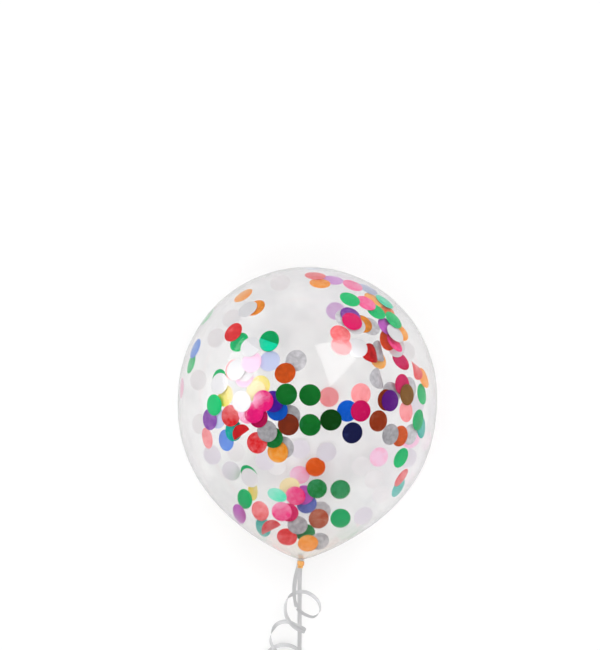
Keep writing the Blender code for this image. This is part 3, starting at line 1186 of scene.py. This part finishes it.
@dataclass
class Confetti:
    """Round foil discs, one inch or so across, that cling to the inside of the film.

    They are laid one after another. Each is moved in from the wall just far enough to clear the wall and the
    discs that are already there, which a map of heights over the wall keeps. A glare spot is painted
    highlight: a column, a row and how far it reaches in pixels. Near one, the discs are painted paler, as if
    a soft box's glare fell on them through the film.
    """

    form: BalloonForm
    view: PhotoView
    radius: float = 0.012
    sheet: float = 0.00012
    rim_points: int = 24
    wall_gap: float = 0.0003
    layer_gap: float = 0.0002
    follow_wall: float = 0.95
    map_turns: int = 720
    map_step: float = 0.0012
    samples: int = 15
    bend_samples: int = 401
    crease_half: float = 0.0006
    leans: tuple[float, ...] = (2.0, 4.0, 7.0, 11.0, 16.0)
    lean_ways: int = 12
    lean_cost: float = 0.00004
    rounds: int = 4
    straight_lift: float = 0.5
    # Painted highlight: spots of soft box glare, near which the discs are painted paler
    glare_spots: tuple[Point, ...] = ((240, 388, 20), (336, 366, 20), (270, 483, 20), (249, 400, 9))
    glare_share: float = 1.2
    heights: Array = field(init=False, repr=False)

    def __post_init__(self) -> None:
        """Starts with an empty map of heights."""
        self.heights = np.zeros((self.map_turns, round(self.form.tip_depth / self.map_step) + 2))

    def shaped(self, lie: Lie, flat: Array) -> Array:
        """Bends flat points of a disc: the slope grows with the distance across it, and jumps at a crease.

        Args:
            lie: how the disc lies.
            flat: the points: along its crease, across it, and over it.

        Returns:
            The points in the disc's own frame, their last number being the height off the wall.
        """
        bend, crease, near_share = lie.value
        fine = np.linspace(-self.radius, self.radius, self.bend_samples)
        fold = eased(fine, -self.crease_half, self.crease_half) - near_share
        slope = bend * fine + math.radians(crease) * fold
        step = fine[1] - fine[0]
        across, height = np.cumsum(np.cos(slope)) * step, np.cumsum(np.sin(slope)) * step
        middle = self.bend_samples // 2
        own = np.interp(flat[:, 1], fine, slope)
        return np.column_stack([
            flat[:, 0],
            np.interp(flat[:, 1], fine, across - across[middle]) - np.sin(own) * flat[:, 2],
            np.interp(flat[:, 1], fine, height - height[middle]) + np.cos(own) * flat[:, 2],
        ])

    def cells(self, points: Array) -> tuple[Array, Array, Array]:
        """Where points are on the map, and how high they are off the wall or the flat spot's floor.

        Args:
            points: the points.

        Returns:
            Their places round the map and along it, and their heights.
        """
        arm = points[:, 2] - self.form.axis_height
        turn = np.arctan2(points[:, 0], arm) / math.tau * self.map_turns
        depth = self.form.crown_y - points[:, 1]
        wall = self.form.read(points[:, 1], self.form.wall)
        off = (wall["radius"] - np.hypot(points[:, 0], arm)) * wall["out"]
        ends = depth - self.form.wall
        height = np.minimum(np.where(ends < 0, ends, off), points[:, 2] - self.form.wall)
        row = np.clip(np.round(depth / self.map_step).astype(int), 0, self.heights.shape[1] - 1)
        return np.round(turn).astype(int) % self.map_turns, row, height

    def needed(self, points: Array) -> Array:
        """How much farther off the wall each point has to be, for what the map holds under it.

        Args:
            points: the points.

        Returns:
            A distance for each, below zero where the point has room to spare.
        """
        turns, rows, height = self.cells(points)
        under = self.heights[turns, rows]
        return np.where(under > 0, under + self.layer_gap, 0.0) + self.wall_gap - height

    def lay(self, disc: Disc, solid: Array) -> Array:
        """Lays one disc and marks it on the map.

        Unless it is tipped, it leans a little where that brings it closer to the wall, as shingles do. A
        steep one is moved square to the wall, and a tipped or flatter one along the line of sight, so it
        stays at its place in the picture.

        Args:
            disc: the disc.
            solid: its flat corner points.

        Returns:
            Its corner points in place.
        """
        side = disc.side.value
        inset = self.form.wall + self.wall_gap
        spot = [np.array([value]) for value in (disc.column, disc.row, side)]
        middle = self.form.wall_at(self.view, *spot, inset)
        normal = self.form.normals(middle, inset)[0]
        sight = unit(self.view.eye - middle[0]) * side
        facing = unit(normal * (1 - disc.face) + sight * disc.face - self.view.right * disc.tip)
        turn = math.radians(disc.turn)
        along = square_to(self.view.right * math.cos(turn) + self.view.up * math.sin(turn), facing)
        across = np.cross(facing, along)

        grid = np.linspace(-self.radius, self.radius, self.samples)
        u, v = (flat.ravel() for flat in np.meshgrid(grid, grid))
        inside = np.hypot(u, v) <= self.radius
        sampled = np.column_stack([u[inside], v[inside], np.zeros(inside.sum())])
        local = self.shaped(disc.lie, np.concatenate([sampled, solid]))
        level = local[:, :1] * along + local[:, 1:2] * across
        bend = self.form.read(middle[:, 1], inset)
        about = level @ unit(np.cross(normal, [0.0, 1.0, 0.0]))
        lengthwise = (level**2).sum(axis=1) - about**2
        sag = (bend["round"][0] * about**2 + bend["along"][0] * lengthwise) / 2 * (1 - disc.face)
        base = middle[0] + level - facing * (local[:, 2:] + self.follow_wall * sag[:, None])

        sizes = np.concatenate([[0.0], np.repeat(self.leans, self.lean_ways)])
        ways = np.concatenate([[0.0], np.tile(around(self.lean_ways), len(self.leans))])
        leans = np.tan(np.radians(sizes)) * np.stack([np.cos(ways), np.sin(ways)])
        raised = (local[:, :2] @ leans)[..., None] * facing
        need = self.needed((base[:, None] - raised).reshape(-1, 3)).reshape(len(base), -1).max(axis=0)
        best = 0 if disc.tip else int(np.argmin(need + self.lean_cost * sizes))
        points = base - raised[:, best]
        straight = disc.tip > 0 or float(normal @ sight) > self.straight_lift
        way = -sight if straight else -normal
        for _ in range(self.rounds):
            points = points + way * float(self.needed(points).max()) / float(-way @ normal)
        turns, rows, height = self.cells(points[:len(sampled)])
        for step in (-1, 0, 1):
            np.maximum.at(self.heights, ((turns + step) % self.map_turns, rows), height + self.sheet)
        return points[len(sampled):]

    def shades(self, disc: Disc, points: Array) -> Array:
        """A disc's shade at its corners: its own, plus painted highlight, paler by a bell curve of how near a
        glare spot is.

        Args:
            disc: the disc.
            points: its corners in place.

        Returns:
            A number for each corner.
        """
        spots = np.array(self.glare_spots)
        apart = np.linalg.norm(self.view.pixels_of(points)[:, None] - spots[:, :2], axis=-1) / spots[:, 2]
        return disc.shade + self.glare_share * np.exp(-(apart.min(axis=1) ** 2))

    def flat_disc(self) -> tuple[Array, list[list[int]]]:
        """A flat disc's points and faces: strips across it on both sides, and a rim.

        Returns:
            The points (along the crease, across it and over it) and the faces.
        """
        count = self.rim_points
        rim = around(count)
        loop = np.column_stack([np.sin(rim), -np.cos(rim)]) * self.radius
        sides = [np.column_stack([loop, np.full(count, height)]) for height in (self.sheet, 0.0)]
        half = count // 2
        strips = [[(count - k) % count, count - k - 1, k + 1, k] for k in range(1, half - 1)]
        top = [*strips, [0, 1, count - 1], [half - 1, half, half + 1]]
        under = [[corner + count for corner in face[::-1]] for face in top]
        edge = [[k, (k + 1) % count, (k + 1) % count + count, k + count] for k in range(count)]
        return np.concatenate(sides), top + under + edge

    def build(self, discs: Sequence[Disc]) -> None:
        """Makes every disc, as one piece for each foil.

        Args:
            discs: the discs in the order that they are laid in, the ones next to the wall first.
        """
        solid, faces = self.flat_disc()
        laid = [(disc, self.lay(disc, solid)) for disc in discs]
        for foil in Foil:
            own = [(disc, points) for disc, points in laid if disc.foil is foil]
            if not own:
                continue
            starts = range(0, len(own) * len(solid), len(solid))
            corners = [[start + corner for corner in face] for start in starts for face in faces]
            surface = Grid(np.concatenate([points for _, points in own]), corners)
            shade = np.concatenate([self.shades(disc, points) for disc, points in own])
            finish = FoilFinish(foil).material()
            piece = make_piece(f"confetti_{foil.label}", surface, finish, sharp=35.0, shade=shade)
            hand_over(piece, "confetti")
        LOG.info("%d discs, the deepest %.1f mm off the wall", len(discs), self.heights.max() * 1000)


# The studio


def panel(name: str, corners: Array, finish: Material) -> Piece:
    """Makes one flat face.

    Args:
        name: its name.
        corners: its corners.
        finish: its material.

    Returns:
        The object.
    """
    mesh = bpy.data.meshes.new(name)
    mesh.from_pydata(corners.tolist(), [], [list(range(len(corners)))])
    mesh.materials.append(finish)
    return placed(name, mesh)


def square(size: float, height: float) -> Array:
    """The corners of a level square over the origin, counter-clockwise.

    Args:
        size: how long its sides are.
        height: its Z.

    Returns:
        The four corners.
    """
    half = size / 2
    corners = ((-half, -half), (half, -half), (half, half), (-half, half))
    return np.array([(x, y, height) for x, y in corners])


@dataclass
class Studio:
    """A white table, a pale sky that is darker towards the neck, and soft boxes placed by their reflections.

    A stop of the sky is a place from straight below, at 0, to straight above, at 1, and how bright it is.
    """

    form: BalloonForm
    view: PhotoView
    floor_size: float = 12.0
    floor_gap: float = 0.0002
    floor_white: Colour = (0.88, 0.88, 0.88)
    floor_roughness: float = 0.9
    floor_glow: float = 0.15
    sky: Outline = (
        (0.0, 0.90), (0.10, 0.60), (0.28, 0.16), (0.38, 0.20),
        (0.46, 0.88), (0.52, 0.88), (0.62, 0.10), (1.0, 0.06),
    )
    overhead_size: float = 3.4
    overhead_height: float = 2.6
    overhead_strength: float = 2.0
    walls: int = 4
    wall_distance: float = 6.0
    wall_height: float = 5.0
    wall_strength: float = 1.0
    box_distance: float = 2.2
    kite: Outline = ((315, 346), (341, 340), (357, 358), (330, 387))
    kite_strength: float = 18.0
    side: Outline = ((242, 338), (262, 352), (258, 386), (250, 404), (244, 422), (230, 408), (222, 378))
    side_strength: float = 9.0

    def floor_material(self) -> Material:
        """A white table that is lit a little from below.

        Returns:
            The material.
        """
        sheet = NodeSheet(bpy.data.materials.new("white_table"))
        sheet.set(base_color=self.floor_white, roughness=self.floor_roughness, specular_ior_level=0.0)
        sheet.set(emission_color=(1.0, 1.0, 1.0), emission_strength=self.floor_glow)
        return sheet.owner

    def add_sky(self) -> None:
        """Sets the surroundings that the film mirrors: pale below and along the horizon, dim elsewhere."""
        sheet = NodeSheet(bpy.data.worlds.new("sky"))
        bpy.context.scene.world = sheet.owner
        lift = sheet.sum("MULTIPLY_ADD", sheet.part(sheet.place("Generated"), "Z"), 0.5, 0.5)
        ramp = sheet.add("ShaderNodeValToRGB", {0: lift})
        stops = ramp.color_ramp.elements
        while len(stops) < len(self.sky):
            stops.new(1.0)
        for stop, (position, strength) in zip(stops, self.sky):
            stop.position = position
            stop.color = (strength, strength, strength, 1.0)
        sheet.feed(sheet.tree.nodes["Background"].inputs["Color"], ramp.outputs["Color"])

    def light(self, name: str, corners: Array, strength: float, diffuse: bool = True) -> Piece:
        """Makes a flat mesh light that the camera doesn't see.

        Args:
            name: its name.
            corners: its corners.
            strength: how bright it is, where the table is about 1.
            diffuse: whether it lights what isn't glossy, or else shows in what is.

        Returns:
            The light.
        """
        sheet = NodeSheet(bpy.data.materials.new(name))
        sheet.tree.nodes.remove(sheet.shader)
        glow = sheet.add("ShaderNodeEmission", {"Strength": strength})
        sheet.feed(sheet.tree.nodes["Material Output"].inputs["Surface"], glow.outputs[0])
        made = panel(name, corners, sheet.owner)
        made.visible_camera = False
        made.visible_transmission = False
        made.visible_diffuse = diffuse
        made.visible_glossy = not diffuse
        return made

    def add_box(self, name: str, corners: Outline, strength: float) -> Piece:
        """Adds a soft box whose reflection in the top of the film has its corners at these pixels.

        Each corner is where the line of sight goes on to after the film mirrors it, at one distance out.

        Args:
            name: its name.
            corners: each corner's column and row in the photograph.
            strength: how bright it is.

        Returns:
            The light.
        """
        seen = np.array(corners, dtype=float)
        spots = self.form.wall_at(self.view, seen[:, 0], seen[:, 1], np.ones(len(seen)), 0.0)
        normals = self.form.normals(spots, 0.0)
        sight = unit(spots - self.view.eye)
        mirrored = sight - 2 * (sight * normals).sum(axis=1, keepdims=True) * normals
        out = unit(mirrored.mean(axis=0))
        middle = spots.mean(axis=0) + out * self.box_distance
        reach = ((middle - spots) @ out) / (mirrored @ out)
        return self.light(name, spots + mirrored * reach[:, None], strength, diffuse=False)

    def add_wall(self, name: str, way: float) -> Piece:
        """Adds one of the upright lights round the table, which light the steep faces.

        Args:
            name: its name.
            way: the way that it lies in, as an angle about Z.

        Returns:
            The light.
        """
        out = np.array([math.cos(way), math.sin(way), 0.0]) * self.wall_distance
        beside = np.array([-out[1], out[0], 0.0])
        rise = np.array([0.0, 0.0, self.wall_height])
        corners = np.array([out - beside, out + beside, out + beside + rise, out - beside + rise])
        return self.light(name, corners, self.wall_strength)

    def build(self) -> None:
        """Sets up the table, the sky, the lights and plain colour output."""
        table = panel("table", square(self.floor_size, -self.floor_gap), self.floor_material())
        table.visible_glossy = False
        self.add_sky()
        boxes = [
            self.add_box("kite_box", self.kite, self.kite_strength),
            self.add_box("side_box", self.side, self.side_strength),
        ]
        above = square(self.overhead_size, self.overhead_height)[::-1]
        overhead = self.light("overhead_box", above, self.overhead_strength)
        ways = enumerate(around(self.walls))
        walls = [self.add_wall(f"wall_light_{number}", way) for number, way in ways]
        bpy.context.scene.view_settings.view_transform = "Standard"


# Where the discs are, each group in the order that it is laid in

# Round the crown and down its right side, from the wall inwards
UPPER_DISCS: tuple[Disc, ...] = (
    Disc(243, 295, Foil.AMBER, 0.3, 30, -0.4),
    Disc(247.5, 309, Foil.PEARL, 0.0, 20, lie=Lie.FLAT),
    Disc(255, 307.5, Foil.AMBER, 0.0, 20),
    Disc(233, 332, Foil.RED, 0.0, 50),
    Disc(250, 347, Foil.PEARL, 0.0, 10, lie=Lie.FLAT),
    Disc(239, 342, Foil.EMERALD, -0.15, 40),
    Disc(269, 341, Foil.MINT, 0.1, 152, lie=Lie.FOLDED),
    Disc(269, 341, Foil.EMERALD, -0.3, lie=Lie.FLAT),
    Disc(251.5, 362, Foil.PINK, 0.95, 10, lie=Lie.FLAT),
    Disc(269.5, 361, Foil.LILAC, lie=Lie.FLAT),
    Disc(235.5, 369.5, Foil.PEARL, 0.0, 30),
    Disc(234, 369.5, Foil.RED, 0.95, 60),
    Disc(245, 371, Foil.PEARL),
    Disc(244, 376.5, Foil.PINK, 1.0, 20),
    Disc(318, 267.5, Foil.LILAC, -0.2),
    Disc(315.2, 275.3, Foil.RED, 0.55),
    Disc(320, 282.5, Foil.AMBER, 0.2),
    Disc(333, 279, Foil.ORCHID, 0.5, -10),
    Disc(353, 284.5, Foil.PINK, 0.4, -10, 0.1),
    Disc(368.3, 288.5, Foil.LILAC, -0.4, -20),
    Disc(350, 299, Foil.EMERALD, 0.0, -10, 0.05),
    Disc(366.3, 302.7, Foil.PINK, 0.3, -30, 0.05),
    Disc(385, 301, Foil.MINT, -0.15, -40),
    Disc(376.3, 311, Foil.EMERALD, 0.0, -40),
    Disc(374.3, 298.5, Foil.AMBER, 0.45, -30, 0.1),
    Disc(394, 319.5, Foil.EMERALD, 0.0, -50),
    Disc(387, 308, Foil.ORANGE, 0.3, -40, 0.1),
    Disc(352.3, 321, Foil.MAGENTA, 0.0, -20),
    Disc(350.5, 315, Foil.PURPLE, 0.2, -20),
    Disc(345.5, 318, Foil.SILVER, 0.7, -20),
    Disc(355.5, 325, Foil.PEARL, -0.2, -20),
    Disc(362.5, 323.5, Foil.AMBER, -0.45, -30),
    Disc(370.5, 326, Foil.SILVER, 0.4, -30),
    Disc(340.5, 334, Foil.RED, 0.5, -10),
    Disc(341.5, 345.5, Foil.RED, 1.0, lie=Lie.FLAT),
    Disc(357.2, 347.5, Foil.PEARL, -0.3, -20),
    Disc(372.3, 352.5, Foil.RED, -0.5, 68, -1.0, lie=Lie.CURLED),
    Disc(380.3, 350.5, Foil.SILVER, 0.1, 80, -0.9, lie=Lie.CURLED),
    Disc(378, 359, Foil.AMBER, 0.7, -10),
    Disc(419, 369.5, Foil.RED, 0.4, 10, -0.6, lie=Lie.CURLED),
    Disc(426, 377.5, Foil.AMBER, 0.3, -80, -0.1),
    Disc(395.5, 333, Foil.PEARL, 0.0, -40),
    Disc(387, 326, Foil.ORCHID, 0.0, -50),
    Disc(401.5, 331, Foil.AMBER, 0.3, -50, -0.1),
    Disc(395, 343, Foil.PINK, 0.0, -60),
    Disc(388, 339.5, Foil.ORANGE, -0.1, -50),
    Disc(396.8, 346.5, Foil.PEARL, -0.1, -60),
    Disc(401.3, 360.5, Foil.MAGENTA, -0.1, -70, -0.3),
    Disc(379.8, 378, Foil.SILVER, 0.45, 100, -1.6, lie=Lie.CURLED),
)

# Across the middle
MIDDLE_DISCS: tuple[Disc, ...] = (
    Disc(285, 373, Foil.ORANGE, -0.3, 30),
    Disc(296, 360.5, Foil.SILVER, 0.45, 30, lie=Lie.FLAT),
    Disc(286.3, 394.3, Foil.GREEN, -0.05, 20),
    Disc(310, 395, Foil.GREEN, -0.15, -10),
    # Painted highlight: this pale disc sits in the side box's glare and also stands in for that glare's white
    # core
    Disc(241.3, 401.5, Foil.PEARL, 0.1, 50),
    Disc(263, 401, Foil.PINK, -0.1, 30),
    Disc(253.5, 412.5, Foil.PINK, -0.1, 40),
    Disc(247.5, 413, Foil.PINK, 0.5, 40),
    Disc(258, 417, Foil.MAGENTA, -0.45, 40),
    Disc(273, 401.5, Foil.INDIGO, 0.0, 30),
    Disc(277, 410, Foil.BLUE, -0.25, 30),
    Disc(255.8, 391, Foil.YELLOW, 0.8, lie=Lie.FLAT),
    Disc(260, 386, Foil.YELLOW, 0.4, lie=Lie.FLAT),
    Disc(288.3, 424.7, Foil.COPPER, -0.6, 10),
    Disc(289.7, 415.8, Foil.SILVER, 0.1),
    Disc(310, 425, Foil.GREEN),
    Disc(331, 420, Foil.PINE, 0.0, -10),
    Disc(361, 411, Foil.MAGENTA, 0.0, -20),
    Disc(347.5, 411, Foil.BLUE, 0.0, -20),
    Disc(361, 394, Foil.RED, 1.0, lie=Lie.FLAT),
    Disc(352.5, 433, Foil.NAVY),
    Disc(378.5, 421, Foil.COPPER, 0.0, -30),
)

# At the right edge, where the wall falls away
RIGHT_DISCS: tuple[Disc, ...] = (
    Disc(423.5, 394, Foil.EMERALD, -0.1, -80, -0.3),
    Disc(390.5, 400.7, Foil.PURPLE, -0.1, -30, -0.05),
    Disc(386.5, 400, Foil.COPPER, -0.2, -30),
    Disc(407.5, 394.7, Foil.BRONZE, 0.0, -50),
    Disc(402.8, 384.5, Foil.MAGENTA, -0.1, -50, -0.1),
    Disc(392, 392.5, Foil.SILVER, 0.3, -30),
    Disc(410, 387.5, Foil.SILVER, 0.5, -50),
    Disc(406.5, 411.5, Foil.RED, 1.0, -30, -0.5, lie=Lie.FLAT),
    Disc(418.7, 420, Foil.EMERALD, -0.3, -80, -0.1),
    Disc(423, 428, Foil.TEAL, 0.2, -80, -0.4),
    Disc(390.7, 434.5, Foil.SILVER, 0.2, -20),
    Disc(400.3, 436.2, Foil.ORANGE, -0.2, -40),
    Disc(410.8, 434.5, Foil.SILVER, 0.7, -50, -0.3),
    Disc(401.2, 458, Foil.EMERALD, -0.05, 57, lie=Lie.FLAT),
    Disc(402.5, 478.5, Foil.RED, 0.5, 50, -0.6, lie=Lie.FLAT),
    Disc(400, 489, Foil.TEAL, 0.5, 50, -0.2, lie=Lie.FLAT),
)

# Down the left side
LEFT_DISCS: tuple[Disc, ...] = (
    Disc(195, 348.5, Foil.BLUE, 0.8, 70),
    Disc(190, 363, Foil.EMERALD, 0.0, 80, -0.3),
    Disc(181, 388, Foil.PINK, 0.8, 90, -0.3),
    Disc(205.5, 317, Foil.EMERALD, -0.1, 60, 0.05),
    Disc(219, 383.5, Foil.PEARL, 0.0, 70),
    Disc(218.5, 379.5, Foil.EMERALD, -0.4, 70, -0.7),
    Disc(213.8, 405, Foil.EMERALD, -0.15, 80),
    Disc(209.3, 419.5, Foil.PURPLE, 0.35, 80),
    Disc(224.5, 396, Foil.YELLOW, 0.0, 80, -0.8),
    Disc(230.3, 415.7, Foil.RED, 0.1, 70),
    Disc(217, 418, Foil.LILAC, -0.1, 70),
    Disc(241.8, 435, Foil.RED, -0.15, 32, lie=Lie.FOLDED),
    Disc(233, 430.5, Foil.TEAL, 0.0, 60, -0.6),
    Disc(225.5, 440.5, Foil.BLUE, 0.7, 60, -0.6),
    Disc(206.5, 438.3, Foil.RED, 1.0, 80, -0.5),
    Disc(267, 431.3, Foil.SILVER, 0.0, 20),
    Disc(256.8, 443, Foil.RED, 0.2, 20),
    Disc(272.5, 437.5, Foil.GREEN, 0.1, 20),
    Disc(277.7, 452, Foil.AMBER, 0.15, 20),
    Disc(283.5, 447.5, Foil.SILVER, 0.3, 10),
)

# Towards the neck, paler and turned to the camera
LOW_DISCS: tuple[Disc, ...] = (
    Disc(319, 541.5, Foil.SILVER, 0.3, 0, 0.6),
    Disc(305, 532.5, Foil.GREEN, 0.3, 0, 0.6),
    Disc(308, 543.5, Foil.AMBER, 0.2, 10, 0.35),
    Disc(287, 537, Foil.RED, 0.1, 20, 0.6),
    Disc(297.5, 525, Foil.SILVER, 0.1, 40, 0.7),
    Disc(320.8, 510.8, Foil.SILVER, 0.6, 60, 0.7),
    Disc(318.7, 518.8, Foil.COPPER, 0.3, 30, 0.7),
    Disc(340.5, 518.3, Foil.EMERALD, -0.3, 0, 0.8),
    Disc(340.3, 489.5, Foil.GREEN, 0.45, 20, 0.8),
    Disc(306.7, 504, Foil.NAVY, 0.9, 50, 0.7),
    Disc(304, 495, Foil.ORCHID, -0.1, 50, 0.7),
    Disc(317, 488.7, Foil.GREEN, 0.3, 70, 0.7),
    Disc(288.5, 512.5, Foil.MAGENTA, -0.1, 40, 0.6),
    Disc(299.7, 475, Foil.PINK, 0.7, 0, 0.5, lie=Lie.FLAT),
    Disc(315.5, 467, Foil.ORANGE, 0.0, 80, 0.7),
    Disc(289.5, 487, Foil.YELLOW, 0.9, 0, 0.4, lie=Lie.FLAT),
    Disc(295.5, 496, Foil.PINK, 0.05, 40, 0.6),
    Disc(281.7, 511.7, Foil.PINK, 0.2, 30, 0.6),
    Disc(277, 495.3, Foil.MINT, 0.1, 10, 0.1),
    Disc(252.5, 490.5, Foil.YELLOW, 0.05, 80, 0.7, 1.6),
    Disc(244.5, 499, Foil.EMERALD, -0.15, 80, 0.7, 0.7),
    Disc(239, 514, Foil.ORCHID, -0.1, 110, 0.5, 0.65),
    Disc(263, 527, Foil.TEAL, 0.4, 90, 0.6, 0.6),
    Disc(260, 511, Foil.RED, 0.5, 60, 0.6, 0.4),
    Disc(271.7, 530, Foil.RED, 0.35, 207, 1.1, lie=Lie.FOLDED),
    Disc(248.3, 474.5, Foil.EMERALD, -0.4, 70, -0.7),
    Disc(249.5, 478, Foil.PEARL, 0.0, 70, 0.2),
)

# Here and there against the far wall
SCATTERED: dict[Foil, Outline] = {
    Foil.PEARL: (
        (236, 452), (276, 466), (361, 466), (374, 479), (384, 497), (213, 336),
        (229, 316), (279, 278), (200, 424), (198, 380), (410, 350), (396, 300),
    ),
    Foil.LILAC: (
        (231, 471), (265, 461), (300, 449), (326.5, 452), (212, 455), (416, 405), (412, 460), (366, 520),
    ),
    Foil.PINK: ((379, 457), (416, 440)),
    Foil.ORCHID: ((336, 311),),
    Foil.RED: ((329, 397),),
}
SCATTER_TURN = 37.0
SCATTER_FACE = 0.6


def low_discs() -> list[Disc]:
    """The paler group towards the neck, against the far wall and turned to the camera."""
    return [replace(disc, side=Side.FAR) for disc in LOW_DISCS]


def scattered_discs() -> list[Disc]:
    """Pale discs here and there against the far wall, which hardly show against the table.

    Returns:
        The discs, from the wall inwards.
    """
    rows = [(column, row, foil) for foil, places in SCATTERED.items() for column, row in places]
    return [
        Disc(column, row, foil, 1.0, SCATTER_TURN * number, SCATTER_FACE, side=Side.FAR)
        for number, (column, row, foil) in enumerate(rows)
    ]


def main() -> None:
    """Builds the balloon, piece by piece, and the plain studio round it."""
    logging.basicConfig(level=logging.INFO, format="%(name)s: %(message)s")
    form = BalloonForm.from_frame()
    view = PhotoView(form.widest)
    view.add_camera()
    knot = Knot(form)
    tie_y = form.crown_y - form.tip_depth - form.waist_length / 2
    ribbon = Ribbon(tie_y=tie_y, knot_bottom_z=knot.bottom_z, axis_height=form.axis_height, view=view)
    ribbon.build(RibbonSatin().material())
    Film(form).build(ClearLatex().material())
    knot.build(BunchedLatex().material())
    near = [*UPPER_DISCS, *MIDDLE_DISCS, *RIGHT_DISCS, *LEFT_DISCS]
    Confetti(form, view).build([*near, *low_discs(), *scattered_discs()])
    Studio(form, view).build()


if __name__ == "__main__":
    main()
